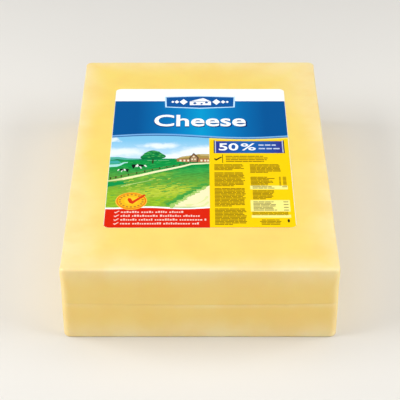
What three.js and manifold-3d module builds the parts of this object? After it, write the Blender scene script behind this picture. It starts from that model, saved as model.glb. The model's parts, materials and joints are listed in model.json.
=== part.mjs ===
// A large rectangular block of semi-hard cheese, ripened and sold in a clinging clear film,
// lying on its broad face with a paper label on top.
//
// Millimetres, +Z up. The origin is the middle of the underside. Y runs along the block, and
// the label reads from the -Y end.

import * as THREE from 'three';
import { mergeVertices } from 'three/addons/utils/BufferGeometryUtils.js';
import Module from 'manifold-3d';

const wasm = await Module();
wasm.setup();

// Block
const BLOCK_WIDTH = 301;
const BLOCK_LENGTH = 486;
const BLOCK_HEIGHT = 90;
const UPRIGHT_EDGE_RADIUS = 8;
const TOP_EDGE_RADIUS = 2.5;
const BOTTOM_EDGE_RADIUS = 2;
const WALL_BELLY = 0.4; // how much further out each wall stands at mid-height than at its edges

// Crease that the film's welded end seal presses into each end wall
const CREASE_HEIGHT = 46; // above the underside, where the crease meets the long sides
const CREASE_SAG = 2; // how much lower it runs in the middle of the wall
const CREASE_DEPTH = 0.7;
const CREASE_WIDTH = 2.2;

// Label
const LABEL_WIDTH = 216;
const LABEL_LENGTH = 326;
const LABEL_THICKNESS = 0.3;
const LABEL_CORNER_RADIUS = 7;
const LABEL_SHIFT = 2.7; // from the block's middle to the label's, towards +Y

// Fineness of the facets
const ARC_DIVISIONS = 4; // a shape's quarter-circle gets twice as many segments
const TOP_EDGE_RINGS = 5;
const BOTTOM_EDGE_RINGS = 4;
const WALL_RINGS = 5;
const CREASE_STEPS = 32;

// A rectangle with rounded corners, centred on the origin.
function roundedRectangle(width, length, radius) {
  const x = width / 2 - radius;
  const y = length / 2 - radius;
  const shape = new THREE.Shape();
  shape.absarc(x, y, radius, 0, Math.PI / 2);
  shape.absarc(-x, y, radius, Math.PI / 2, Math.PI);
  shape.absarc(-x, -y, radius, Math.PI, (3 * Math.PI) / 2);
  shape.absarc(x, -y, radius, (3 * Math.PI) / 2, 2 * Math.PI);
  shape.closePath();
  return shape;
}

// A shape's outline as points, each one once.
function outlinePoints(shape) {
  const points = shape.getPoints(ARC_DIVISIONS);
  return points.filter((point, i) => point.distanceTo(points.at(i - 1)) > 1e-6);
}

// The outline of the block at one level: how far it lies inside the widest level, because of
// the belly and of the rounded edge. Only the rounding takes up the corner's radius.
function blockOutline(belly, rounding) {
  const inset = 2 * (belly + rounding);
  const radius = UPRIGHT_EDGE_RADIUS - rounding;
  return outlinePoints(roundedRectangle(BLOCK_WIDTH - inset, BLOCK_LENGTH - inset, radius));
}

// The block's levels from the underside to the top: a quarter-round, the bellied wall and a
// larger quarter-round.
function blockRings() {
  const rings = [];
  const addRing = (z, belly, rounding) => {
    rings.push(blockOutline(belly, rounding).map((p) => new THREE.Vector3(p.x, p.y, z)));
  };
  for (let i = 0; i < BOTTOM_EDGE_RINGS; i++) {
    const angle = ((i / BOTTOM_EDGE_RINGS) * Math.PI) / 2;
    const rounding = BOTTOM_EDGE_RADIUS * (1 - Math.sin(angle));
    addRing(BOTTOM_EDGE_RADIUS * (1 - Math.cos(angle)), WALL_BELLY, rounding);
  }
  const wallHeight = BLOCK_HEIGHT - TOP_EDGE_RADIUS - BOTTOM_EDGE_RADIUS;
  for (let i = 0; i <= WALL_RINGS; i++) {
    const up = i / WALL_RINGS;
    addRing(BOTTOM_EDGE_RADIUS + up * wallHeight, WALL_BELLY * (2 * up - 1) ** 2, 0);
  }
  for (let i = 1; i <= TOP_EDGE_RINGS; i++) {
    const angle = ((i / TOP_EDGE_RINGS) * Math.PI) / 2;
    const rounding = TOP_EDGE_RADIUS * (1 - Math.cos(angle));
    addRing(BLOCK_HEIGHT - TOP_EDGE_RADIUS * (1 - Math.sin(angle)), WALL_BELLY, rounding);
  }
  return rings;
}

// A closed skin through rings of equally many points, with a flat face over each end.
function loft(rings) {
  const count = rings[0].length;
  const index = [];
  for (let level = 0; level < rings.length - 1; level++) {
    for (let i = 0; i < count; i++) {
      const next = (i + 1) % count;
      const low = level * count;
      const high = low + count;
      index.push(low + i, low + next, high + next, low + i, high + next, high + i);
    }
  }
  const last = (rings.length - 1) * count;
  for (const [a, b, c] of THREE.ShapeUtils.triangulateShape(rings.at(-1), [])) {
    index.push(last + a, last + b, last + c, c, b, a);
  }
  const geometry = new THREE.BufferGeometry().setFromPoints(rings.flat());
  geometry.setIndex(index);
  return geometry;
}

// A closed three.js geometry as a solid that can be cut.
function toSolid(geometry) {
  const bare = geometry.clone();
  bare.deleteAttribute('normal');
  bare.deleteAttribute('uv');
  const merged = mergeVertices(bare);
  return new wasm.Manifold(
    new wasm.Mesh({
      numProp: 3,
      vertProperties: merged.getAttribute('position').array,
      triVerts: Uint32Array.from(merged.getIndex().array),
    }),
  );
}

function toGeometry(solid) {
  const mesh = solid.getMesh();
  const geometry = new THREE.BufferGeometry();
  geometry.setAttribute('position', new THREE.BufferAttribute(mesh.vertProperties, mesh.numProp));
  geometry.setIndex(new THREE.BufferAttribute(mesh.triVerts, 1));
  geometry.computeVertexNormals();
  return geometry;
}

// The bar that cuts one crease: a flat diamond swept along the sagging line across the end
// wall at y, half of it inside the cheese.
function creaseCutter(y) {
  const diamond = new THREE.Shape([
    new THREE.Vector2(CREASE_DEPTH, 0),
    new THREE.Vector2(0, CREASE_WIDTH / 2),
    new THREE.Vector2(-CREASE_DEPTH, 0),
    new THREE.Vector2(0, -CREASE_WIDTH / 2),
  ]);
  const reach = BLOCK_WIDTH / 2;
  const line = new THREE.QuadraticBezierCurve3(
    new THREE.Vector3(-reach, y, CREASE_HEIGHT),
    new THREE.Vector3(0, y, CREASE_HEIGHT - 2 * CREASE_SAG),
    new THREE.Vector3(reach, y, CREASE_HEIGHT),
  );
  return new THREE.ExtrudeGeometry(diamond, { extrudePath: line, steps: CREASE_STEPS });
}

function cheeseBlock() {
  let solid = toSolid(loft(blockRings()));
  for (const y of [-BLOCK_LENGTH / 2, BLOCK_LENGTH / 2]) {
    solid = solid.subtract(toSolid(creaseCutter(y)));
  }
  const cheese = new THREE.MeshStandardMaterial({ color: 0xf6d783, roughness: 0.35 });
  const mesh = new THREE.Mesh(toGeometry(solid), cheese);
  mesh.name = 'cheese_block';
  return mesh;
}

function label() {
  const outline = roundedRectangle(LABEL_WIDTH, LABEL_LENGTH, LABEL_CORNER_RADIUS);
  const geometry = new THREE.ExtrudeGeometry(outline, {
    depth: LABEL_THICKNESS,
    bevelEnabled: false,
    curveSegments: ARC_DIVISIONS,
  });
  const paper = new THREE.MeshStandardMaterial({ color: 0xf7f7f2, roughness: 0.4 });
  const mesh = new THREE.Mesh(geometry, paper);
  mesh.name = 'label';
  mesh.position.set(0, LABEL_SHIFT, BLOCK_HEIGHT);
  return mesh;
}

const cheese = new THREE.Group();
cheese.add(cheeseBlock(), label());

export default cheese;
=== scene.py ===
import json
import math
import random
from functools import partial

import bmesh
import bpy
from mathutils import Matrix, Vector, noise

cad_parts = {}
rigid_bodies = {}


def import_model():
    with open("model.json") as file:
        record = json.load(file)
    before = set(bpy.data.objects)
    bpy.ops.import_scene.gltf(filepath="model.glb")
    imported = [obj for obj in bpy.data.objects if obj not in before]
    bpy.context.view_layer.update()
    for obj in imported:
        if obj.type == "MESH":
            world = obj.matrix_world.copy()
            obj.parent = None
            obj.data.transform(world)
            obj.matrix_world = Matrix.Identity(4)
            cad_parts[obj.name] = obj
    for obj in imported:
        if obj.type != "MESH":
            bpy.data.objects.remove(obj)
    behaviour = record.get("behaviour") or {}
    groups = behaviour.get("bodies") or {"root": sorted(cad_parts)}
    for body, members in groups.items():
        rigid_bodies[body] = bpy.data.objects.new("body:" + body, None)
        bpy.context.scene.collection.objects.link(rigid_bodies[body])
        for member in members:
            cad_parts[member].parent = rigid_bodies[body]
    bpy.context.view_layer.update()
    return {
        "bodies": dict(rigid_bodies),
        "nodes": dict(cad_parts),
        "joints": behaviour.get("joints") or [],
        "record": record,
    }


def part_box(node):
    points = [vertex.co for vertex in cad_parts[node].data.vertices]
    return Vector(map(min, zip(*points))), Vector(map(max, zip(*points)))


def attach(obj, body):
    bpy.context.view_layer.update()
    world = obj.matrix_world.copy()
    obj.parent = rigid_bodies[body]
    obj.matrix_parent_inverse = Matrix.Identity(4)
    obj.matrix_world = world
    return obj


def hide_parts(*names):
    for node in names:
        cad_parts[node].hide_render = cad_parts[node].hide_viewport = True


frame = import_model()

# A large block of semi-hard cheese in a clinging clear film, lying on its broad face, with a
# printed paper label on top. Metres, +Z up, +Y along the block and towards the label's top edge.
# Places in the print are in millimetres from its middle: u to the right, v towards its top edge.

MM = 0.001
X, Y, Z = range(3)

# Block
BLOCK_CELLS = (25, 40, 7)  # faces of about 12 mm, before they are divided again
FINE_CUTS = 3  # cuts in each of those faces, which makes faces of about 3 mm
UPRIGHT_RADIUS = 8 * MM
TOP_RADIUS = 2.5 * MM
BOTTOM_RADIUS = 2 * MM
ARC_SEGMENTS = 8
WALL_BELLY = 0.4 * MM
TOP_SPREAD = 0.7 * MM  # how far the long sides lean out at the top
CREASE_HEIGHT = 46 * MM
CREASE_SAG = 2 * MM
CREASE_DEPTH = 0.6 * MM
CREASE_SHOULDER = 0.5 * MM  # height of the crease's steep upper side
CREASE_SLOPE = 3.0 * MM  # height of its long lower side
CREASE_CUTS = 5
SMOOTH_UP_TO = math.radians(30)
FILM_WAVES = ((70 * MM, 0.3 * MM), (15 * MM, 0.07 * MM))  # length and height of each
GATHER_REACH = 10 * MM
GATHERS = {(-1, -1): 1.6, (1, -1): 0.8, (-1, 1): 1.0, (1, 1): 1.2}  # mm, by the signs of x and y

# Label
LABEL_CORNER = 7 * MM
LABEL_RIM = 0.4 * MM
PRINT_LIFT = 1.1  # mm from the middle of the sheet up to the middle of its print
INK = 0.05 * MM  # one layer of ink, thicker than a real one so that each layer hides the last
SLIVER = 0.15  # part of a layer between patches of one layer that overlap

label_low, label_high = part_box("label")
LABEL_MIDDLE = (label_low + label_high) / 2
PAPER_TOP = label_high.z
HALF_WIDTH = (label_high.x - label_low.x) / 2 / MM
HALF_LENGTH = (label_high.y - label_low.y) / 2 / MM
PRINT_EDGE = HALF_WIDTH - LABEL_RIM / MM  # how far the print reaches to each side

# Borders of the printed fields, in label millimetres
STRIP_V = 129.3  # between the white strip and the blue banner
BANNER_V = 38.4  # between the banner and the fields under it, before it waves
CLAIMS_V = -124.3  # between the landscape and the red field, before it waves
FACTS_U = 11.2  # between the landscape and the yellow field
HORIZON_V = -13.5  # between the landscape's sky and its meadow
TRACK_EDGE = [(-33.8, -121), (-27, -112), (-12.9, -97.5), (-0.5, -84), (FACTS_U, -75)]
BANNER_DROP = 3.0  # how far the blue's own edge lies below the wave, under the printed lines
WAVE_STEPS = 40
LEEWAY = 0.1  # so that a face whose middle is close to a border is told apart
FAT_BOX = (16.6, 102.2, -0.8, 28.0)  # left, right, bottom and top of the violet panel


# ---- modelling helpers


def deselect_all():
    bpy.ops.object.select_all(action="DESELECT")


def on_label(u, v):
    """The point of the scene for a place in the print."""
    return Vector((LABEL_MIDDLE.x + u * MM, LABEL_MIDDLE.y + (v + PRINT_LIFT) * MM, PAPER_TOP))


def label_uv(point):
    """The place in the print of a point of the scene."""
    return (point.x - LABEL_MIDDLE.x) / MM, (point.y - LABEL_MIDDLE.y) / MM - PRINT_LIFT


def select_parts(piece, kind, wanted):
    """In edit mode, selects the edges or faces that wanted picks, and nothing else."""
    bpy.ops.mesh.select_mode(type=kind)
    bpy.ops.mesh.select_all(action="DESELECT")
    shape = bmesh.from_edit_mesh(piece.data)
    for part in shape.edges if kind == "EDGE" else shape.faces:
        if wanted(part):
            part.select_set(True)
    shape.select_flush_mode()
    bmesh.update_edit_mesh(piece.data)


def runs_along(edge, axis):
    """True if the edge is parallel to an axis of the scene."""
    step = edge.verts[1].co - edge.verts[0].co
    return all(abs(step[other]) < 1e-6 for other in (X, Y, Z) if other != axis)


def is_corner(edge):
    """True if the two faces at the edge meet at about a right angle."""
    return len(edge.link_faces) == 2 and edge.calc_face_angle() > math.radians(60)


def lies_between(edge, bottom, top):
    """True if no part of the edge is below bottom or above top."""
    return all(bottom - 1e-6 < vertex.co.z < top + 1e-6 for vertex in edge.verts)


def make_active(piece):
    """Selects the piece and nothing else."""
    deselect_all()
    piece.select_set(True)
    bpy.context.view_layer.objects.active = piece


def apply_place():
    """Leaves the selected object at the origin, unturned and unscaled."""
    bpy.ops.object.transform_apply(location=True, rotation=True, scale=True)


def finish_mesh(piece):
    """Puts the piece's place into its mesh and smooths it between its real edges."""
    make_active(piece)
    apply_place()
    bpy.ops.object.shade_smooth_by_angle(angle=SMOOTH_UP_TO)


# ---- material helpers


def colour(code):
    """An sRGB hex code as linear red, green, blue and alpha."""
    parts = [int(code[i : i + 2], 16) / 255 for i in (1, 3, 5)]
    linear = [c / 12.92 if c <= 0.04045 else ((c + 0.055) / 1.055) ** 2.4 for c in parts]
    return (*linear, 1.0)


# Sockets that share a name with another of their node: a Mix node's colours and its result.
FIRST_COLOUR, SECOND_COLOUR, MIXED = 6, 7, 2
FALLING = {"To Min": 1.0, "To Max": 0.0}  # for a Map Range node that runs from 1 down to 0


def plug(node, inputs):
    """Gives a node's sockets values, other nodes' outputs or, for a whole node, its first output."""
    for socket, value in inputs.items():
        if isinstance(value, bpy.types.Node):
            value = value.outputs[0]
        if isinstance(value, bpy.types.NodeSocket):
            node.id_data.links.new(value, node.inputs[socket])
        else:
            node.inputs[socket].default_value = value


def add_node(tree, kind, inputs=None, **settings):
    """Adds a node with its settings and links."""
    node = tree.nodes.new("ShaderNode" + kind)
    for name, value in settings.items():
        setattr(node, name, value)
    plug(node, inputs or {})
    return node


def new_material(name, values):
    """A material, its Principled shader with these values, and add_node for its tree."""
    material = bpy.data.materials.new(name)
    material.use_nodes = True
    shader = material.node_tree.nodes["Principled BSDF"]
    plug(shader, values)
    return material, shader, partial(add_node, material.node_tree)


# ---- the cheese


def block_places(add, place):
    """A point's depth inside each pair of the block's faces, and its place from the middle."""
    low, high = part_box("cheese_block")
    centred = add("VectorMath", {0: place, 1: (low + high) / 2}, operation="SUBTRACT")
    away = add("VectorMath", {0: centred}, operation="ABSOLUTE")
    inside = add("VectorMath", {0: (high - low) / 2, 1: away}, operation="SUBTRACT")
    depth = add("SeparateXYZ", {0: inside})
    centre = add("SeparateXYZ", {0: centred})
    return depth.outputs, centre.outputs


def nearest_edge(add, depth):
    """The distance to the nearest edge: on a face one depth is zero, so it is the middle one.

    Beside an upright edge it is stretched, which leaves the pale border there a narrow one.
    """
    upright_stretch = 2.6
    smaller = add("Math", {0: depth[X], 1: depth[Y]}, operation="MINIMUM")
    larger = add("Math", {0: depth[X], 1: depth[Y]}, operation="MAXIMUM")
    stretched = add("Math", {0: larger, 1: upright_stretch}, operation="MULTIPLY")
    other = add("Math", {0: stretched, 1: depth[Z]}, operation="MINIMUM")
    return add("Math", {0: smaller, 1: other}, operation="MAXIMUM")


def dryness_and_painted_sheen(add, depth, centre, height, on_top, drift):
    """How pale the paste is painted, from 1 at the block's edges to 0 inside: partly drier paste,
    partly painted sheen of light along the edges.

    The border is narrow on the walls, and a little paler where they stand on the board, which is
    painted light bounced up from it. On the top it is wider, and grows towards two opposite corners as
    painted streaks of light on the film.
    """
    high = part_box("cheese_block")[1]
    narrow_top, wide_top, corner_extra = 26 * MM, 50 * MM, 75 * MM
    narrow_wall, wide_wall = 27 * MM, 38 * MM
    foot_height, foot_painted_light = 30 * MM, 0.36
    swing = {0: drift, "From Min": 0.35, "From Max": 0.65}
    # The border's growth towards two opposite corners of the top is painted sheen: streaks of light on
    # the film.
    across = add("Math", {0: centre[X], 1: centre[Y]}, operation="MULTIPLY")
    pull = add("MapRange", {0: across, "From Max": high.x * high.y, "To Max": corner_extra})
    uneven = add("MapRange", {**swing, "To Min": narrow_top, "To Max": wide_top})
    top_width = add("Math", {0: pull, 1: uneven}, operation="ADD")
    wall_width = add("MapRange", {**swing, "To Min": narrow_wall, "To Max": wide_wall})
    width = add("Mix", {0: on_top, 2: wall_width, 3: top_width})
    edge = nearest_edge(add, depth)
    nearness = add("MapRange", {0: edge, "From Max": width, **FALLING})
    # Squared, so that the paleness falls off fast at first and then fades out softly.
    border = add("Math", {0: nearness, 1: 2.0}, operation="POWER")
    # Painted light bounced up from the board: the walls are painted paler near their foot.
    foot = add(
        "MapRange", {0: height, "From Max": foot_height, "To Min": foot_painted_light, "To Max": 0.0}
    )
    return add("Math", {0: border, 1: foot}, operation="ADD")


def weld_milkiness_and_highlight(add, depth, centre, height, drift):
    """How pale the band just under the crease of each end is: partly the film's welded edge lying
    doubled there, partly a painted highlight on the crease's lower slope, which faces up into the
    light.
    """
    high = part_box("cheese_block")[1]
    across = add("Math", {0: centre[X], 1: high.x}, operation="DIVIDE")
    squared = add("Math", {0: across, 1: 2.0}, operation="POWER")
    sag = {0: squared, 1: CREASE_SAG, 2: CREASE_HEIGHT - CREASE_SAG}
    crease = add("Math", sag, operation="MULTIPLY_ADD")
    over_crease = add("Math", {0: height, 1: crease}, operation="SUBTRACT")
    strength = add(
        "MapRange", {0: drift, "From Min": 0.4, "From Max": 0.6, "To Min": 0.08, "To Max": 0.34}
    )
    # Painted highlight: a pale strip on the crease's lower slope, which faces up into the light, fading
    # out just above the crease line.
    rise = {0: over_crease, "From Min": -7 * MM, "From Max": -0.8 * MM, "To Max": strength}
    below = add("MapRange", rise, interpolation_type="SMOOTHSTEP")
    above = add("MapRange", {0: over_crease, "From Min": -0.4 * MM, "From Max": 0.1 * MM, **FALLING})
    at_end = add("MapRange", {0: depth[Y], "From Min": 1.5 * MM, "From Max": 3.5 * MM, **FALLING})
    strip = add("Math", {0: below, 1: above}, operation="MULTIPLY")
    return add("Math", {0: strip, 1: at_end}, operation="MULTIPLY")


def cheese_material():
    """Rindless semi-hard cheese, pressed smooth and ripened in a clear shrink film.

    The paste is a soft pale yellow that lets light in, paler towards the edges, partly where it is a
    little drier and partly as painted sheen. The film over it gives a satin coat with faint ripples.
    """
    paste = {
        "Roughness": 0.48, "IOR": 1.45, "Subsurface Weight": 0.25, "Subsurface Scale": 4 * MM,
        "Subsurface Radius": (1.0, 0.55, 0.2),
    }
    film = {"Coat Weight": 0.35, "Coat Roughness": 0.22, "Coat IOR": 1.5}
    material, shader, add = new_material("semi_hard_cheese_in_clear_film", {**paste, **film})
    place = add("TexCoord").outputs["Object"]
    height = add("SeparateXYZ", {0: place}).outputs[Z]
    depth, centre = block_places(add, place)
    on_top = add("MapRange", {0: depth[Z], "From Min": 1 * MM, "From Max": 4 * MM, **FALLING})
    # Noise at three lengths: slow drift, clouds of riper paste and ripples of the film.
    drift, clouds, ripples = (
        add("TexNoise", {"Vector": place, "Scale": 1 / size, "Detail": fine, "Roughness": rough})
        for size, fine, rough in ((120 * MM, 2.0, 0.4), (45 * MM, 3.0, 0.5), (9 * MM, 2.0, 0.55))
    )
    ripe = add("MapRange", {0: clouds, "From Min": 0.4, "From Max": 0.64, "To Max": 0.36})

    # The walls are painted a little paler and less yellow than the top all over: a painted difference
    # of light between the top and the walls.
    shade = colour("#F9D87D")
    # Shades laid over that: the top's tone, the pale border (drier paste and painted sheen, with
    # painted bounce light at the foot), the painted highlight under the crease, and clouds of riper
    # paste.
    for share, code in (
        (on_top, "#FADB72"),
        (dryness_and_painted_sheen(add, depth, centre, height, on_top, drift), "#FCE6AC"),
        (weld_milkiness_and_highlight(add, depth, centre, height, drift), "#FCEDC4"),
        (ripe, "#F5CC68"),
    ):
        shades = {0: share, FIRST_COLOUR: shade, SECOND_COLOUR: colour(code)}
        shade = add("Mix", shades, data_type="RGBA").outputs[MIXED]
    bump = add("Bump", {"Height": ripples, "Strength": 0.25, "Distance": 0.25 * MM})
    plug(shader, {"Base Color": shade, "Normal": bump})
    return material


def crease_depth(height):
    """How deep the crease is at a height above its bottom line: a steep side over a long slope."""
    if 0 <= height < CREASE_SHOULDER:
        return CREASE_DEPTH * (1 - height / CREASE_SHOULDER)
    if -CREASE_SLOPE < height < 0:
        return CREASE_DEPTH * (1 + height / CREASE_SLOPE)
    return 0.0


def shape_skin(mesh, high):
    """Bellies the walls, sinks the crease into both ends and makes the film slightly uneven.

    The film lies flat round the label, and gathers into a small lump at each top corner.
    """
    flat_round_label = 12  # mm
    normals = [vertex.normal.copy() for vertex in mesh.vertices]
    cell = high.z / BLOCK_CELLS[Z]
    for vertex, normal in zip(mesh.vertices, normals):
        x, y, z = vertex.co
        level = 2 * z / high.z - 1
        belly = WALL_BELLY * level**2
        x *= 1 - belly / high.x + TOP_SPREAD / high.x * max(0, level) ** 2
        y *= 1 - belly / high.y
        y -= math.copysign(crease_depth(z - CREASE_HEIGHT) * abs(normal.y), y)
        # the rows of faces near the crease sag with it, and the lowest and highest rows don't
        nearness = min(1.0, max(0.0, min(z / cell - 1, BLOCK_CELLS[Z] - 1 - z / cell) / 2))
        z -= CREASE_SAG * (1 - (x / high.x) ** 2) * nearness

        beyond_label = max(abs(x) / MM - HALF_WIDTH, abs(y - LABEL_MIDDLE.y) / MM - HALF_LENGTH)
        if normal.z > 0.9:
            loose = min(1.0, max(0.0, beyond_label / flat_round_label))
        else:
            loose = 1 + min(0, normal.z)
        for (side, end), height in GATHERS.items():
            corner = Vector((side * high.x, end * high.y, high.z - 0.8 * GATHER_REACH))
            share = (Vector((x, y, z)) - corner).length / GATHER_REACH
            x += side * height * MM * math.exp(-(share**2)) * min(1.0, 1.4 - normal.z)
        wave = sum(height * noise.noise(Vector((x, y, z)) / length) for length, height in FILM_WAVES)
        vertex.co = Vector((x, y, z)) + normal * wave * loose
    mesh.update()


def cheese_piece():
    """The whole block as one closed skin with rounded edges."""
    low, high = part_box("cheese_block")
    deselect_all()
    bpy.ops.mesh.primitive_cube_add(size=1, location=(low + high) / 2, scale=high - low)
    block = bpy.context.object
    block.name = "cheese"
    apply_place()
    bpy.ops.object.mode_set(mode="EDIT")
    for axis in (X, Y, Z):
        select_parts(block, "EDGE", lambda edge: runs_along(edge, axis))
        bpy.ops.mesh.subdivide(number_cuts=BLOCK_CELLS[axis] - 1)

    select_parts(block, "EDGE", lambda edge: is_corner(edge) and runs_along(edge, Z))
    bpy.ops.mesh.bevel(offset=UPRIGHT_RADIUS, segments=ARC_SEGMENTS, affect="EDGES")
    for level, radius in ((high.z, TOP_RADIUS), (low.z, BOTTOM_RADIUS)):
        select_parts(block, "EDGE", lambda edge: is_corner(edge) and lies_between(edge, level, level))
        bpy.ops.mesh.bevel(offset=radius, segments=ARC_SEGMENTS, affect="EDGES")

    cell = high.z / BLOCK_CELLS[Z]
    bottom = int(CREASE_HEIGHT / cell) * cell
    top = bottom + cell
    select_parts(block, "EDGE", lambda edge: runs_along(edge, Z) and lies_between(edge, bottom, top))
    bpy.ops.mesh.subdivide(number_cuts=CREASE_CUTS)
    select_parts(block, "EDGE", lambda edge: any(runs_along(edge, axis) for axis in (X, Y, Z)))
    bpy.ops.mesh.subdivide(number_cuts=FINE_CUTS)
    bpy.ops.object.mode_set(mode="OBJECT")

    shape_skin(block.data, high)
    finish_mesh(block)
    block.data.materials.append(cheese_material())
    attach(block, "root")
    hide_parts("cheese_block")


# ---- the label's paper and fields


def banner_wave(u):
    """The lower edge of the banner's blue, at u."""
    return 41.4 - 4.3 * math.sin(math.pi * u / HALF_WIDTH)


def claims_wave(u):
    """The upper edge of the red field, at u."""
    return CLAIMS_V + 1.4 * math.sin(2 * math.pi * (u + 81) / 84)


def label_place(add):
    """A node that gives the place in the print in millimetres, from the piece's own coordinates."""
    place = add("TexCoord").outputs["Object"]
    shift = (-LABEL_MIDDLE.x / MM, -LABEL_MIDDLE.y / MM - PRINT_LIFT, 0)
    scale = (1 / MM, 1 / MM, 0)
    return add("Mapping", {"Vector": place, "Location": shift, "Scale": scale})


PRINT_FINISH = {"Roughness": 0.45, "IOR": 1.45, "Specular IOR Level": 0.06}


def mottled(name, grain, detail, first, second):
    """Coated paper or solid ink in two shades of one colour that drift over grain mm."""
    material, shader, add = new_material(name, PRINT_FINISH)
    place = label_place(add)
    mottle = add("TexNoise", {"Vector": place, "Scale": 1 / grain, "Detail": detail})
    shades = {0: mottle, FIRST_COLOUR: colour(first), SECOND_COLOUR: colour(second)}
    shade = add("Mix", shades, data_type="RGBA").outputs[MIXED]
    plug(shader, {"Base Color": shade})
    return material


def paper_material():
    """Coated label paper, calendered smooth: a clean white with a faint cloudy formation."""
    return mottled("coated_label_paper", 6, 4.0, "#F7F7F4", "#FBFBFA")


def solid_print(name, first, second):
    """Offset ink laid solid on coated paper: the two shades are its faint unevenness."""
    return mottled(name, 4, 3.0, first, second)


def shaded_print(name, middle_u, stops):
    """Offset ink that shades from a line down the label to both sides: (mm, colour) stops."""
    material, shader, add = new_material(name, PRINT_FINISH)
    place = add("SeparateXYZ", {0: label_place(add)})
    offset = add("Math", {0: place.outputs[X], 1: middle_u}, operation="SUBTRACT")
    away = add("Math", {0: offset}, operation="ABSOLUTE")
    reach = stops[-1][0]
    share = add("Math", {0: away, 1: reach}, operation="DIVIDE")
    ramp = add("ValToRGB", {0: share})
    points = ramp.color_ramp.elements
    while len(points) < len(stops):
        points.new(0.5)
    for point, (distance, code) in zip(points, stops):
        point.position = distance / reach
        point.color = colour(code)
    plug(shader, {"Base Color": ramp})
    return material


# The painted landscape shades upwards through the sky and down the slope: heights and colours.
SKY_RANGE, SKY_COLOURS = (-10, 30), ("#C0E1F4", "#7EC4E9")
MEADOW_RANGE, MEADOW_COLOURS = (-34, -100), ("#0C9342", "#90B929")

# Its soft patches: middle u and v, half sizes, tilt in degrees, strength and colour, from the
# first laid to the last.
CLOUD = "#EFF6FB"
SKY_PATCHES = (
    (-48, 17, 33, 10, 2, 0.9, CLOUD),
    (-96, 2, 46, 14, 0, 0.9, CLOUD),
    (2, 3, 50, 18, 12, 1.0, CLOUD),
    (-20, -8, 64, 9, 0, 0.9, CLOUD),
    (-105, 31, 14, 7, 0, 0.8, CLOUD),
)
MEADOW_PATCHES = (
    (-104, -24, 20, 5, 4, 0.6, "#4FB88C"),
    (-50, -52, 36, 7, 17, 0.8, "#86B83A"),
    (-44, -88, 60, 17, 8, 0.9, "#BACB3C"),
    (-104, -70, 30, 8, 8, 1.0, "#0F9A48"),
    (-2, -40, 44, 9, 12, 0.75, "#3AA84A"),
    (-14, -97, 52, 10, 40, 0.9, "#3C9F3E"),
)


def paint_patches(add, place, base, patches):
    """Lays soft-edged ellipses of colour over base and returns the last colour."""
    for u, v, half_u, half_v, tilt, strength, code in patches:
        turn = (0, 0, math.radians(tilt))
        ellipse = {"Location": (u, v, 0), "Rotation": turn, "Scale": (half_u, half_v, 1)}
        spot = add("Mapping", {"Vector": place, **ellipse}, vector_type="TEXTURE")
        disc = add("TexGradient", {0: spot}, gradient_type="SPHERICAL")
        fade = {0: disc.outputs["Fac"], "From Max": 0.75, "To Max": strength}
        soft = add("MapRange", fade, interpolation_type="SMOOTHSTEP")
        shades = {0: soft, FIRST_COLOUR: base, SECOND_COLOUR: colour(code)}
        base = add("Mix", shades, data_type="RGBA").outputs[MIXED]
    return base


def landscape_material():
    """A painted country scene, printed in four colours: a cloudy sky over sloping meadows."""
    material, shader, add = new_material("landscape_print", PRINT_FINISH)
    place = label_place(add)
    # Every edge wanders by a few millimetres, as a brush would leave it.
    wander_reach = (26, 12, 0)
    wander = add("TexNoise", {"Vector": place, "Scale": 1 / 9, "Detail": 4.0})
    middle = (0.5, 0.5, 0.5)
    centred = add("VectorMath", {0: wander.outputs["Color"], 1: middle}, operation="SUBTRACT")
    shift = add("VectorMath", {0: centred, 1: wander_reach}, operation="MULTIPLY")
    brushed = add("VectorMath", {0: place, 1: shift}, operation="ADD")

    height = add("SeparateXYZ", {0: place}).outputs[Y]
    halves = []
    for (start, end), (first, second), spots in (
        (MEADOW_RANGE, MEADOW_COLOURS, MEADOW_PATCHES),
        (SKY_RANGE, SKY_COLOURS, SKY_PATCHES),
    ):
        share = add("MapRange", {0: height, "From Min": start, "From Max": end})
        shades = {0: share, FIRST_COLOUR: colour(first), SECOND_COLOUR: colour(second)}
        shade = add("Mix", shades, data_type="RGBA").outputs[MIXED]
        halves.append(paint_patches(add, brushed, shade, spots))
    grass, sky = halves

    # Brush strokes of about 7 by 1.6 mm that lie along the slope.
    slant = {"Rotation": (0, 0, math.radians(-14)), "Scale": (1 / 7, 1 / 1.6, 1)}
    strokes = add("Mapping", {"Vector": place, **slant})
    brush = add("TexNoise", {"Vector": strokes, "Scale": 1.0, "Detail": 3.0})
    contrast = add(
        "MapRange", {0: brush, "From Min": 0.3, "From Max": 0.7, "To Min": 0.25, "To Max": 0.75}
    )
    brushing = {0: 0.6, FIRST_COLOUR: grass, SECOND_COLOUR: contrast}
    grass = add("Mix", brushing, data_type="RGBA", blend_type="OVERLAY").outputs[MIXED]

    above = add("Math", {0: height, 1: HORIZON_V}, operation="GREATER_THAN")
    halves = {0: above, FIRST_COLOUR: grass, SECOND_COLOUR: sky}
    scene = add("Mix", halves, data_type="RGBA").outputs[MIXED]
    plug(shader, {"Base Color": scene})
    return material


def field_at(u, v):
    """The printed field that a face of the sheet belongs to, by the place of its middle."""
    if abs(u) > PRINT_EDGE or v > STRIP_V:
        return "paper"
    if v > BANNER_V:
        return "banner"
    if u < FACTS_U:
        return "landscape" if v > CLAIMS_V else "claims"
    left, right, bottom, top = FAT_BOX
    return "fat_panel" if left < u < right and bottom < v < top else "facts"


def cut_sheet(sheet, chosen, u=None, v=None):
    """Cuts the chosen faces of the sheet along a line of constant u or v."""
    select_parts(sheet, "FACE", lambda face: chosen(*label_uv(face.calc_center_median())))
    point = on_label(u or 0, v or 0)
    bpy.ops.mesh.bisect(plane_co=point, plane_no=(0, 1, 0) if u is None else (1, 0, 0))


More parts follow.
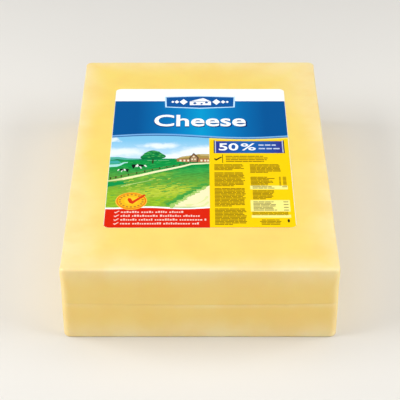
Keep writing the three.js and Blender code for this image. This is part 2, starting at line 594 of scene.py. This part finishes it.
def bend_border(sheet, border, wave):
    """Divides the straight edges along a line of constant v and moves them onto a wave."""

    def on_border(vertex):
        u, v = label_uv(vertex.co)
        return abs(v - border) < 0.01 and abs(u) < PRINT_EDGE + LABEL_RIM / MM / 2

    select_parts(sheet, "EDGE", lambda edge: all(on_border(v) for v in edge.verts))
    bpy.ops.mesh.subdivide(number_cuts=WAVE_STEPS)
    shape = bmesh.from_edit_mesh(sheet.data)
    for vertex in filter(on_border, list(shape.verts)):
        u = label_uv(vertex.co)[0]
        vertex.co.y = on_label(u, wave(u)).y
    bmesh.update_edit_mesh(sheet.data)


def label_sheet():
    """The paper sheet, cut into its printed fields."""
    deselect_all()
    bpy.ops.mesh.primitive_plane_add(size=1, location=on_label(0, -PRINT_LIFT))
    sheet = bpy.context.object
    sheet.name = "label_sheet"
    sheet.scale = (label_high.x - label_low.x, label_high.y - label_low.y, 1)
    apply_place()
    bpy.ops.object.mode_set(mode="EDIT")
    bpy.ops.mesh.select_all(action="SELECT")
    bpy.ops.mesh.bevel(offset=LABEL_CORNER, segments=ARC_SEGMENTS, affect="VERTICES")
    bpy.ops.mesh.select_all(action="SELECT")
    bpy.ops.mesh.inset(thickness=LABEL_RIM)

    def printed(u, v):
        inside = HALF_LENGTH - LABEL_RIM / MM - LEEWAY
        return abs(u) < PRINT_EDGE - LEEWAY and abs(v + PRINT_LIFT) < inside

    cut_sheet(sheet, printed, v=STRIP_V)
    cut_sheet(sheet, printed, v=BANNER_V)
    cut_sheet(sheet, lambda u, v: printed(u, v) and v < BANNER_V, u=FACTS_U)
    cut_sheet(sheet, lambda u, v: printed(u, v) and u < FACTS_U and v < BANNER_V, v=CLAIMS_V)
    left, right, bottom, top = FAT_BOX
    for line in ({"v": bottom}, {"v": top}, {"u": left}, {"u": right}):
        cut_sheet(sheet, lambda u, v: printed(u, v) and u > FACTS_U and v < BANNER_V, **line)
    bend_border(sheet, BANNER_V, lambda u: banner_wave(u) - BANNER_DROP)
    bend_border(sheet, CLAIMS_V, claims_wave)
    bpy.ops.object.mode_set(mode="OBJECT")

    blues = ((0, "#0098CE"), (28, "#007BBE"), (54, "#0067A9"), (80, "#005495"))
    violets = ((0, "#1264B0"), (24, "#2350A0"), (43, "#352F8A"))
    fields = {
        "banner": shaded_print("blue_banner_print", 1.5, blues),
        "landscape": landscape_material(),
        "claims": solid_print("red_field_print", "#D61E05", "#DE280A"),
        "facts": solid_print("yellow_field_print", "#F8CD02", "#FAD306"),
        "fat_panel": shaded_print("violet_panel_print", 59, violets),
        "paper": paper_material(),
    }
    for material in fields.values():
        sheet.data.materials.append(material)
    order = list(fields)
    for face in sheet.data.polygons:
        face.material_index = order.index(field_at(*label_uv(face.center)))

    thick = sheet.modifiers.new("paper", "SOLIDIFY")
    thick.thickness = label_high.z - label_low.z
    thick.offset = -1
    thick.material_offset = len(order)  # past the last slot, so the back and rim are paper
    thick.material_offset_rim = len(order)
    bpy.ops.object.modifier_apply(modifier=thick.name)
    finish_mesh(sheet)
    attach(sheet, "root")
    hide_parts("label")


# ---- printed ink


def ink(name, code):
    """Offset printing ink, dried satin, in one even colour; only its gloss varies a little."""
    material, shader, add = new_material(name + "_ink", PRINT_FINISH)
    tack = add("TexNoise", {"Vector": label_place(add), "Scale": 1 / 5, "Detail": 2.0})
    gloss = add("MapRange", {0: tack, "From Min": 0.3, "From Max": 0.7, "To Min": 0.46, "To Max": 0.56})
    plug(shader, {"Base Color": colour(code), "Roughness": gloss})
    return material


def lay_down(part, layer, material, size, place):
    """Scales a flat shape of unit thickness, puts it on the label and inks it.

    Every layer starts just under the paper's surface, so none of them stands on air.
    """
    sunk = 0.02 * MM
    part.scale = (*size, sunk + layer * INK)
    part.location = (*place, PAPER_TOP - sunk)
    make_active(part)
    apply_place()
    part.data.materials.clear()
    part.data.materials.append(material)
    return part


def raise_flat(part):
    """Turns a text or curve object into a closed mesh that stands on z = 0, one unit high."""
    make_active(part)
    bpy.ops.object.convert(target="MESH")
    part = bpy.context.object
    bpy.ops.object.mode_set(mode="EDIT")
    bpy.ops.mesh.select_all(action="SELECT")
    bpy.ops.mesh.remove_doubles(threshold=1e-4)
    bpy.ops.mesh.normals_make_consistent(inside=False)
    bpy.ops.transform.translate(value=(0, 0, 0.5))
    bpy.ops.object.mode_set(mode="OBJECT")
    return part


def patches(outlines, layer, material, smooth=False):
    """Flat patches of ink with these outlines, which don't cross: lists of (u, v) in order."""
    curve = bpy.data.curves.new("patch", "CURVE")
    curve.dimensions = "2D"
    curve.fill_mode = "BOTH"
    curve.extrude = 0.5
    curve.resolution_u = 6
    for outline in outlines:
        spline = curve.splines.new("BEZIER")
        spline.bezier_points.add(len(outline) - 1)
        spline.use_cyclic_u = True
        for point, (u, v) in zip(spline.bezier_points, outline):
            point.co = (u, v, 0)
            point.handle_left_type = point.handle_right_type = "AUTO" if smooth else "VECTOR"
    part = bpy.data.objects.new("patch", curve)
    bpy.context.collection.objects.link(part)
    return lay_down(raise_flat(part), layer, material, (MM, MM), on_label(0, 0).xy)


def stamp(places, layer, material, add_primitive):
    """Flat patches of ink made of one primitive at many places: (middle, size) of each."""
    deselect_all()
    part = None
    for (u, v), (width, height) in places:
        add_primitive(location=(u, v, 0.5), scale=(width, height, 1))
        if part is None:
            part = bpy.context.object
            apply_place()
            bpy.ops.object.mode_set(mode="EDIT")
    bpy.ops.object.mode_set(mode="OBJECT")
    return lay_down(part, layer, material, (MM, MM), on_label(0, 0).xy)


def bars(boxes, layer, material):
    """Rectangular patches of ink: (left, right, bottom, top) each."""
    places = [
        (((left + right) / 2, (bottom + top) / 2), (right - left, top - bottom))
        for left, right, bottom, top in boxes
    ]
    return stamp(places, layer, material, partial(bpy.ops.mesh.primitive_cube_add, size=1))


def discs(circles, layer, material, sides):
    """Round or oval patches of ink: (u, v, half width, half height) each."""
    places = [(circle[:2], circle[2:]) for circle in circles]
    add_cylinder = partial(bpy.ops.mesh.primitive_cylinder_add, vertices=sides, radius=1, depth=1)
    return stamp(places, layer, material, add_cylinder)


def lettering(words, box, layer, material, weight):
    """A generic word or figure in the plain built-in letters, fitted to a box of the print."""
    left, right, bottom, top = box
    deselect_all()
    bpy.ops.object.text_add()
    text = bpy.context.object
    text.data.body = words
    text.data.offset = weight
    text.data.extrude = 0.5
    text.data.resolution_u = 4
    part = raise_flat(text)
    xs = [vertex.co.x for vertex in part.data.vertices]
    ys = [vertex.co.y for vertex in part.data.vertices]
    size = (right - left) / (max(xs) - min(xs)) * MM, (top - bottom) / (max(ys) - min(ys)) * MM
    corner = on_label(left, bottom)
    place = corner.x - min(xs) * size[X], corner.y - min(ys) * size[Y]
    return lay_down(part, layer, material, size, place)


def band(line, width, end_width):
    """The outline of a band along a line of (u, v) points, which may widen or narrow."""
    points = [Vector(point) for point in line]
    last = len(points) - 1
    left, right = [], []
    for i, point in enumerate(points):
        along = (points[min(i + 1, last)] - points[max(i - 1, 0)]).normalized()
        half = Vector((-along.y, along.x)) * (width + (end_width - width) * i / last) / 2
        left.append(point + half)
        right.append(point - half)
    return left + right[::-1]


def wave_band(wave, left, right, above, below):
    """The outline of a band that follows a wave from left to right."""
    line = [left + (right - left) * i / WAVE_STEPS for i in range(WAVE_STEPS + 1)]
    return [(u, wave(u) + above) for u in line] + [(u, wave(u) + below) for u in line[::-1]]


def join_print(name, parts):
    """Joins inked parts into one print piece that rides the block with the label."""
    deselect_all()
    for part in parts:
        part.select_set(True)
    bpy.context.view_layer.objects.active = parts[0]
    bpy.ops.object.join()
    piece = bpy.context.object
    piece.name = name
    finish_mesh(piece)
    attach(piece, "root")


def word_bars(generator, left, right, v, height, word=(4, 12), gap=0.6):
    """One line of small print as plain word-long bars, with no letters in it."""
    boxes = []
    while left < right - 2:
        length = min(generator.uniform(*word), right - left)
        boxes.append((left, left + length, v - height / 2, v + height / 2))
        left += length + gap
    return boxes


def paragraph(generator, left, right, top, bottom, pitch, height):
    """Lines of word bars; the last one is shorter."""
    boxes = []
    count = max(1, round((top - bottom) / pitch))
    for line in range(count):
        v = top - pitch * (line + 0.5)
        reach = generator.uniform(0.35, 0.8) if line == count - 1 else generator.uniform(0.93, 1.0)
        boxes += word_bars(generator, left, left + (right - left) * reach, v, height)
    return boxes


def tick(u, v, size):
    """The outline of a tick whose foot is at u, v."""
    shape = ((-0.42, 0.34), (-0.2, 0.52), (0.0, 0.3), (0.76, 1.04), (1.0, 0.9), (0.0, -0.2))
    return [(u + size * x, v + size * y) for x, y in shape]


def print_borders():
    """The lines between the label's fields."""
    lines = (
        ("pale_blue", "#78B0E0", 2, banner_wave, -PRINT_EDGE, PRINT_EDGE, 0.4, -2.8),
        ("deep_blue", "#2A62A2", 3, banner_wave, -PRINT_EDGE, PRINT_EDGE, -2.7, -4.6),
        ("lemon", "#F2E06C", 3 - SLIVER, banner_wave, FACTS_U, PRINT_EDGE, -4.5, -7.4),
        ("white", "#FDFDFC", 2, claims_wave, -PRINT_EDGE, FACTS_U, 2.9, -0.2),
    )
    parts = [
        patches([wave_band(*run)], layer, ink(name, code)) for name, code, layer, *run in lines
    ]
    join_print("print_borders", parts)


def print_headline():
    """The kind of food in large white letters over their own dark shadow."""
    left, right, bottom, top = -57, 57, 64.0, 93.5
    shadow = (left - 0.6, right + 1.8, bottom - 2.0, top - 0.2)
    white = ink("headline_white", "#FDFDFD")
    navy = ink("headline_navy", "#062C6E")
    parts = [
        lettering("Cheese", shadow, 2, navy, weight=0.018),
        lettering("Cheese", (left, right, bottom, top), 4, white, weight=0.018),
    ]
    join_print("print_headline", parts)


def print_plaque():
    """A navy plaque between the white strip and the banner, with a plain wedge of cheese on it."""
    middle_v, base_v = 126.8, 127
    outline = [(-44, 113), (-45, 141), (0, 143.5), (45, 141), (44, 113), (0, 109.5)]
    inner = [(u * 0.955, middle_v + (v - middle_v) * 0.87) for u, v in outline]
    wedge = [(-13, 118.6), (-13, 128.6), (4, 137.2), (14, 128.6), (14, 118.6)]
    cut = band([(-13, 128.6), (14, 128.6)], 1.0, 1.0)
    holes = [(-6.5, 123.4, 2.0, 2.6), (2.0, 122.0, 1.5, 1.9), (8.2, 125.2, 1.9, 2.3)]
    diamonds = []
    for side in (-1, 1):
        for u, half in ((20.8, 5.2), (29.4, 3.0), (34.6, 2.0)):
            u *= side
            tall = 1.45 * half
            diamonds.append([(u - half, base_v), (u, base_v + tall), (u + half, base_v),
                             (u, base_v - tall)])
    navy = ink("plaque_navy", "#0C559D")
    parts = [
        patches([outline], 2, ink("plaque_rim", "#BFE4FC")),
        patches([inner], 3, navy),
        patches([wedge] + diamonds, 4, ink("plaque_white", "#FCFDFE")),
        discs(holes, 5, navy, 16),
        patches([cut], 5, navy),
    ]
    join_print("print_plaque", parts)


def blob(generator, u, v, half_u, half_v, corners=9, unevenness=0.18):
    """The outline of a soft uneven patch."""
    outline = []
    for corner in range(corners):
        angle = 2 * math.pi * corner / corners
        reach = 1 + generator.uniform(-unevenness, unevenness)
        outline.append((u + half_u * reach * math.cos(angle), v + half_v * reach * math.sin(angle)))
    return outline


def tree_parts(generator):
    """A broad meadow tree: a dark crown with leaf masses in three greens, and its trunk."""
    middle_u, middle_v, half_width, half_height, clusters = -56, -5.5, 13, 8.2, 26
    dark = ink("leaf_shadow", "#06743A")
    middle = ink("leaf", "#0B8A42")
    light = ink("sunlit_leaf", "#4BA653")
    crown = [(-71, -12), (-67.5, -4), (-64, 1.5), (-58, 5.2), (-51, 3.2), (-45.5, -2.5),
             (-41, -9), (-46, -13.5), (-58, -15.5)]
    trunk = [(-57.6, -25), (-57.2, -14), (-55.2, -14), (-55.4, -25)]
    parts = [
        patches([crown], 4, dark, smooth=True), patches([trunk], 3, ink("bark", "#2F4A22"))
    ]
    # large masses, and then small clusters all over the crown
    leaves = [(middle, -61, -3, 6, 3.4), (middle, -53, -5.5, 6.5, 3.2), (middle, -64.5, -9, 5, 2.6),
              (light, -54, 1.8, 5.2, 1.7), (light, -48.5, -3.6, 3.8, 1.8), (light, -62, 0.2, 2.4, 1.1),
              (light, -46.8, -8.6, 4.0, 1.6)]
    for _ in range(clusters):
        angle, reach = generator.uniform(0, 2 * math.pi), generator.uniform(0.1, 0.85)
        u = middle_u + half_width * reach * math.cos(angle)
        v = middle_v + half_height * reach * math.sin(angle)
        material = generator.choice((light, middle, dark))
        leaves.append((material, u, v, generator.uniform(1.2, 2.4), generator.uniform(0.6, 1.2)))
    for index, (material, *oval) in enumerate(leaves):
        leaf = blob(generator, *oval)
        parts.append(patches([leaf], 5 + index * SLIVER / 2, material, smooth=True))
    return parts


def barn_parts():
    """A long low barn under a thatched roof, with one gable."""
    edge = FACTS_U - 0.3
    wall = [(-27.5, -20.5), (-27.5, -15), (edge, -13), (edge, -22.4), (-13, -22.4)]
    openings = [(u, u + 2.4, -20.6, -16.6) for u in (-24.5, -19.8, -15.2, 0.6, 5.0, 8.4)]
    roof = [(-30, -15.8), (-22, -9.4), (-12, -6.8), (-1, -3.4), (edge, -3.4), (edge, -13.6),
            (-12, -13.2), (-22, -14.4)]
    left_sun = [(-23, -10.6), (-12, -7.8), (-13, -9.6), (-24, -12.6)]
    right_sun = [(-1, -4.4), (edge, -4.4), (edge, -7.4), (1, -7)]
    frame = [(-13, -13), (-7.6, -0.6), (-1.4, -11.6), (-2.6, -22.4), (-12.4, -22.4)]
    gable = [(-11.4, -13.2), (-7.6, -4.2), (-3.2, -12.6), (-4, -21.6), (-11, -21.6)]
    windows = [(-8.7, -6.5, -11.0, -8.0), (-10.2, -8.4, -17.6, -14.2), (-6.8, -5.0, -17.6, -14.2)]
    plaster = ink("plaster", "#EDE3C4")
    return [
        patches([wall], 4, ink("brick", "#AC7448")),
        bars(openings, 5, plaster),
        patches([roof], 5, ink("thatch", "#A98F4A")),
        patches([left_sun, right_sun], 6, ink("sunlit_thatch", "#C9B87C")),
        patches([frame], 6, ink("timber", "#5E4430")),
        patches([gable], 7, ink("gable_board", "#A98560")),
        bars(windows, 8, plaster),
    ]


def cow_parts(u, v, length, facing, black, white):
    """A grazing black and white cow, side on; facing is 1 towards +u and -1 towards -u."""
    s = length / 10

    def place(points):
        return [(u + facing * s * x, v + s * y) for x, y in points]

    body = [(-5, 2.6), (-4.2, 4.4), (2.6, 4.5), (4.2, 3.6), (4.6, 2.2), (3.0, 1.0), (-3.6, 1.0)]
    legs = [(-4.6, 2.2), (-3.2, 1.9), (-2.6, -0.2), (-3.2, -1.4), (-4.0, -1.4), (-4.2, 0.4)]
    chest = [(0.6, 2.0), (2.2, 1.4), (2.8, -1.3), (2.0, -1.4), (1.4, 0.6)]
    head = [(4.3, 3.5), (5.4, 3.7), (6.6, 1.6), (6.0, 0.6), (4.8, 1.8)]
    saddle = [(-1.5, 3.4), (-0.3, 4.7), (0.4, 3.0), (0.0, 0.9), (-1.9, 0.8), (-2.0, 2.2)]
    return [
        patches([place(body)], 3, black),
        patches([place(legs)], 3 + SLIVER, black),
        patches([place(chest)], 3 + 2 * SLIVER, white),
        patches([place(saddle), place(head)], 4, white),
    ]


def fence_boxes(line, count):
    """Posts that stand along a line of (u, v) points, as bars; the far ones are shorter."""
    half_post, near, far = 0.7, 4.6, 2.4  # mm: half their width, and their heights
    posts = []
    for index in range(count):
        share = index / (count - 1)
        along = share * (len(line) - 1)
        start = min(int(along), len(line) - 2)
        u, v = Vector(line[start]).lerp(Vector(line[start + 1]), along - start)
        posts.append((u - half_post, u + half_post, v, v + near + (far - near) * share))
    return posts


def grass_strokes(generator, count, layer, material, box, allowed):
    """Short slanting brush strokes, not too close, on the meadow where allowed says so."""
    left, right, bottom, top = box
    apart_u, apart_v = 8, 2.6
    strokes = []
    while len(strokes) < count:
        u, v = generator.uniform(left, right), generator.uniform(bottom, top)
        close = any(abs(u - a) < apart_u and abs(v - b) < apart_v for (a, b), *_ in strokes)
        if close or not allowed(u, v):
            continue
        long, tall = generator.uniform(3.5, 7.5), generator.uniform(0.5, 1.0)
        rise = long * generator.uniform(0.1, 0.45)
        strokes.append([(u, v), (u + long * 0.5, v + rise * 0.6 + tall), (u + long, v + rise),
                        (u + long * 0.5, v + rise * 0.5 - tall * 0.3)])
    return patches(strokes, layer, material, smooth=True)


def land_parts():
    """Hills, water, path, fence and track, all flat."""
    west = -PRINT_EDGE
    hill = [(west, -16.5), (west, -10.5), (-98, -9.8), (-86, -13), (-74, -13.6), (-66, -16.5)]
    hedge = [(west, -17.5), (-99, -15.2), (-86, -17), (-70, -15.6), (-52, -14.2),
             (-28, -15.4), (FACTS_U, -15), (FACTS_U, -18.5), (-28, -18.3), (-60, -18.2),
             (-88, -19.5), (west, -20.5)]
    far_meadows = ([(-63, -18.1), (-52, -17.9), (-52, -18.7), (-63, -19.0)],
                   [(-50, -17.9), (-37, -17.5), (-37, -18.2), (-50, -18.6)])
    stream = [(west, -33.6), (west, -28), (-96, -26.6), (-91, -22.4), (-86, -21.8),
              (-86, -23.6), (-90, -24.6), (-94, -29.5), (-98, -32.4)]
    pond = [(west, -25), (west, -19), (-98, -18.4), (-94, -22.6), (-98, -25.6)]
    path = [(west, -65.0), (-91, -60.4), (-70, -52.2), (-53.5, -44.6), (-37.5, -38.4),
            (-22, -32.2), (-10, -26.4), (FACTS_U, -24.2)]
    shadow = [(west, -78), (west, -68.6), (-85, -66.4), (-78, -66.8), (-92, -72.5)]
    streaks = ([(-14, -120), (-8, -117), (4, -106), (9, -98), (8, -104), (-2, -114)],
               [(-2, -121), (4, -117), (10, -110), (9, -115), (4, -120)])
    fence = [(-105, -61), (-90, -55), (-67, -45.6), (-46, -36.5), (-26, -30.4), (-14, -25)]
    rail = [(-106, -59.3), (-90, -52.6), (-67, -43.2), (-46, -34.6), (-26, -29), (-14, -24.4)]
    pale_stroke = [(-92, -77), (-74, -69.5), (-55, -62.4)]
    shapes = (
        ("distant_hill", "#4FB09C", 2, [hill]),
        ("hedge", "#14924F", 2, [hedge]),
        ("pale_meadow", "#7CC18A", 3, far_meadows),
        ("stream", "#A9E2DF", 3, [stream]),
        ("pond", "#3FA9A0", 3, [pond]),
        ("sandy_path_near", "#D9E0A0", 3, [band(path[:2], 2.2, 4.6)]),
        ("sandy_path", "#F3EFB6", 3 + SLIVER, [band(path[1:4], 4.8, 4.1)]),
        ("sandy_path_far", "#F1EFC0", 3, [band(path[3:], 4.0, 2.8)]),
        ("wedge_shadow", "#0B9348", 2, [shadow]),
        ("pale_stroke", "#C5DC86", 3, [band(pale_stroke, 1.4, 0.5)]),
        ("cream_track", "#F4EDBC", 3, [TRACK_EDGE + [(FACTS_U, -121)]]),
        ("rail", "#8C8F4C", 4, [band(rail, 0.7, 0.4)]),
    )
    parts = [patches(outlines, layer, ink(name, code)) for name, code, layer, outlines in shapes]
    parts.append(patches(streaks, 4, ink("track_streak", "#E6E9A2"), smooth=True))
    parts.append(bars(fence_boxes(fence, 13), 4, ink("fence", "#3B3C1E")))
    return parts


def fringe_parts(generator):
    """Ragged tufts along the track: deep green up the slope, and pale ones over its edge."""
    inks = ink("track_fringe", "#43A043"), ink("pale_fringe", "#A6CB68")
    tufts_per_stretch = 9
    tufts = [[], []]
    for start, end in zip(TRACK_EDGE, TRACK_EDGE[1:]):
        for step in range(tufts_per_stretch):
            for kind, off in enumerate((generator.uniform(3, 8), generator.uniform(-2.4, 1.6))):
                along = (step + generator.random()) / tufts_per_stretch
                u, v = Vector(start).lerp(Vector(end), along) + 0.7 * off * Vector((-1, 1))
                if u < FACTS_U - 3.6:
                    tufts[kind].append(blob(generator, u, v, 2.6, 1.3, 7, 0.35))
    parts = []
    for kind, outlines in enumerate(tufts):
        for index, outline in enumerate(outlines):
            layer = 1.2 + 2.2 * kind + index % tufts_per_stretch * SLIVER / 2
            parts.append(patches([outline], layer, inks[kind], smooth=True))
    return parts


def grass_parts(generator):
    """Brush strokes in five greens over the meadows above and below the path."""

    def below_path(u, v):
        return v < -66 + 0.36 * (u + PRINT_EDGE) and -118 < v < -34 and u - 0.9 * (v + 121) < -44

    def above_path(u, v):
        return v > -58 + 0.36 * (u + PRINT_EDGE)

    # number of strokes, ink and its colour, left, right, bottom and top, and where they may lie
    sprinkles = (
        (46, "lush_grass", "#5FAE42", (-104, 0, -112, -52), below_path),
        (36, "dry_grass", "#B8CA4A", (-90, -14, -108, -60), below_path),
        (34, "deep_grass", "#44A445", (-66, 4, -92, -38), below_path),
        (30, "olive_grass", "#8FA834", (-104, -20, -112, -66), below_path),
        (24, "fresh_grass", "#35A852", (-100, -5, -56, -22), above_path),
    )
    return [
        grass_strokes(generator, count, 2.2 + index * SLIVER, ink(name, code), box, allowed)
        for index, (count, name, code, box, allowed) in enumerate(sprinkles)
    ]


def print_landscape():
    """What stands out of the painted country scene."""
    generator = random.Random(7)
    parts = land_parts() + fringe_parts(generator) + tree_parts(generator) + barn_parts()
    black, white = ink("cow_black", "#0B1C14"), ink("cow_white", "#E9EEE4")
    parts += cow_parts(-90, -42.8, 12, -1, black, white)
    parts += cow_parts(-73.5, -34.4, 16, 1, black, white)
    parts += grass_parts(generator)
    join_print("print_landscape", parts)


def print_badge():
    """A round yellow badge with a ring of dashes and a tick."""
    centre, radius, dashes, dash = Vector((-78.7, -108.6)), 17.4, 18, 2.6
    ring = []
    for index in range(dashes):
        angle = math.radians(10) + 2 * math.pi * index / dashes
        middle = centre + 0.76 * radius * Vector((math.cos(angle), math.sin(angle)))
        half = dash / 2 * Vector((-math.sin(angle), math.cos(angle)))
        ring.append(band([middle - half, middle + half], dash, dash))
    mark = [(-83.2, -106.6), (-82.4, -102.8), (-79.6, -103.4), (-77.2, -109), (-64.2, -94.6),
            (-62.6, -96.6), (-77.0, -115.2), (-80.6, -113.2)]
    rounds = (
        ("badge_rim", "#F6C243", 4, radius + 0.9, radius + 1.2, 48),
        ("badge_ring", "#E8820F", 5, radius - 0.2, radius, 48),
        ("badge", "#F9BC1C", 6, radius - 1.9, radius - 1.9, 48),
        ("badge_middle", "#FBCA28", 7, 8.0, 8.0, 32),
    )
    parts = [
        discs([(*centre, half_u, half_v)], layer, ink(name, code), sides)
        for name, code, layer, half_u, half_v, sides in rounds
    ]
    parts.append(patches(ring, 7, ink("badge_dash", "#C0792A")))
    parts.append(patches([mark], 8, ink("badge_tick", "#D8360F")))
    join_print("print_badge", parts)


def print_claims():
    """Four lines of white marks on the red field, each after a tick: letters' places, no letters."""
    generator = random.Random(11)
    gap, word_gap = 0.85, 1.7
    boxes, ticks = [], []
    for v, right in ((-132.1, -17), (-140.1, -0.2), (-148.0, 5.3), (-155.9, -2.6)):
        ticks.append(tick(-95.6, v - 1.7, 4.4))
        left, letters = -89.6, 0
        word = generator.randint(4, 8)
        while left < right:
            wide = generator.uniform(1.5, 2.5)
            tall = 2.3 if generator.random() < 0.3 else 1.1
            boxes.append((left, left + wide, v - 1.5, v + tall))
            left += wide + gap
            letters += 1
            if letters == word:
                left += word_gap
                letters, word = 0, generator.randint(5, 12)
    white = ink("claims_white", "#F4CCC0")
    join_print("print_claims", [bars(boxes, 2, white), patches(ticks, 2, white)])


def print_fat_panel():
    """The fat content: a plain figure between silver posts, and two lines of marks."""
    generator = random.Random(5)
    left, right, bottom, top = FAT_BOX
    marks = []
    for v, end in ((18.2, 92), (9.8, 97)):
        marks += word_bars(generator, 71, end, v, 2.8, (3, 8), 1.6)
    dark_posts, silver_posts = (
        [(a, a + wide, bottom + low, top + high) for a in (left + inset, right - inset - wide)]
        for inset, wide, low, high in ((0, 1.2, 0, 1.6), (1.3, 1.4, 1, 1))
    )
    white = ink("fat_white", "#F8FAFD")
    parts = [
        bars(dark_posts, 2, ink("fat_navy", "#1C2348")),
        bars(silver_posts, 3, ink("silver", "#B9C4DC")),
        lettering("50", (22.7, 46.4, 5.4, 22.6), 3, white, weight=0.02),
        lettering("%", (49.4, 67.4, 5.6, 22.4), 3, white, weight=0.012),
        bars(marks, 3, ink("fat_mark", "#C3CFEA")),
    ]
    join_print("print_fat_panel", parts)


def print_small_text():
    """The small print of the yellow field: word-long bars and pale boxes where tables stand."""
    generator = random.Random(3)
    pitch, tall = 2.9, 1.9
    boxes = []
    for line in range(4):
        boxes += word_bars(generator, 30.9, generator.uniform(76, 82), -8.3 - 4.0 * line, 2.1)
    for left, right, top, bottom in (
        (17, 53, -26.5, -41), (17, 53, -45, -76), (17, 53, -80, -120), (17, 53, -124, -159),
        (59.3, 97, -26.5, -46),
    ):
        boxes += paragraph(generator, left, right, top, bottom, pitch, tall)
    for line in range(7):
        v = -56.4 - pitch * line
        boxes += word_bars(generator, 59.3, generator.uniform(78, 88), v, tall)
        boxes += [(left, right, v - 0.85, v + 0.85) for left, right in ((92.5, 94.7), (97, 101))]
    boxes += paragraph(generator, 61, 86, -85, -105.5, pitch, tall)
    for line in range(3):
        boxes += word_bars(generator, 59.3, 100, -132.4 - 2.6 * line, 1.4)
    for line in range(4):
        half = generator.uniform(9, 15)
        boxes += word_bars(generator, 79.5 - half, 79.5 + half, -148.4 - pitch * line, 1.7)
    over_lemon = []
    for top, bottom in ((-75.8, -82.8), (-108.6, -129.4)):
        for line in range(int((top - bottom) / pitch)):
            v = top - tall - pitch * line
            over_lemon += word_bars(generator, 61, generator.uniform(80, 91), v, 1.7)
            if line % 2 == 0:
                over_lemon.append((95.5, 101, v - 0.85, v + 0.85))
    pale = ((58.4, 101.9, -83.3, -75.2), (57.9, 102.8, -130.8, -106.7), (58.4, 102.8, -143.7, -137.9))
    olive = ink("small_print", "#97790A")
    dark = ink("small_print_dark", "#3C320E")
    parts = [
        bars(pale, 2, ink("table_lemon", "#FBF08A")),
        bars(boxes, 2, olive),
        bars(over_lemon, 3, ink("table_print", "#95894E")),
        bars([(26.7, 27.4, -23.6, -4.2)], 2, dark),
        patches([tick(19.4, -16.8, 7.2)], 2, dark),
        discs([(99.7, -150, 1.3, 3.4)], 2, dark, 20),
    ]
    join_print("print_small_text", parts)


# ---- camera, floor and lights


def add_camera():
    """Looks down the length of the block from its near end."""
    bpy.ops.object.camera_add(location=(0, -1.6098, 1.0439))
    camera = bpy.context.object
    camera.rotation_euler = (math.radians(90 - 32.32), 0, 0)
    camera.data.sensor_width = 36
    camera.data.lens = 140
    bpy.context.scene.camera = camera


def add_floor():
    """A plain pale surface."""
    deselect_all()
    bpy.ops.mesh.primitive_plane_add(size=14)
    floor = bpy.context.object
    floor.name = "floor"
    finish = {"Base Color": colour("#E4E1DB"), "Roughness": 0.9, "Specular IOR Level": 0.1}
    floor.data.materials.append(new_material("matt_pale_floor", finish)[0])


def add_lights():
    """A broad overhead softbox, weaker ones at the sides and front, and a pale surround."""
    for name, location, width, height, power in (
        ("overhead", (0, 0.25, 1.7), 1.8, 1.8, 8.9),
        ("left_side", (-1.55, -0.2, 1.1), 1.6, 0.9, 26),
        ("right_side", (1.55, -0.2, 1.1), 1.6, 0.9, 20.5),
        ("front_fill", (0, -2.2, 0.9), 1.6, 1.0, 9.2),
    ):
        bpy.ops.object.light_add(type="AREA", location=location)
        box = bpy.context.object
        box.name = name
        box.data.shape = "RECTANGLE"
        box.data.size = width
        box.data.size_y = height
        box.data.energy = power
        aim = Vector((0, 0, 0.05)) - box.location
        box.rotation_euler = aim.to_track_quat("-Z", "Y").to_euler()
    world = bpy.data.worlds.new("pale_surround")
    world.use_nodes = True
    background = world.node_tree.nodes["Background"]
    background.inputs["Color"].default_value = colour("#F2F3F5")
    background.inputs["Strength"].default_value = 0.24
    bpy.context.scene.world = world


bpy.context.scene.view_settings.view_transform = "Standard"
add_camera()
add_floor()
add_lights()
cheese_piece()
label_sheet()
print_borders()
print_headline()
print_plaque()
print_landscape()
print_badge()
print_claims()
print_fat_panel()
print_small_text()
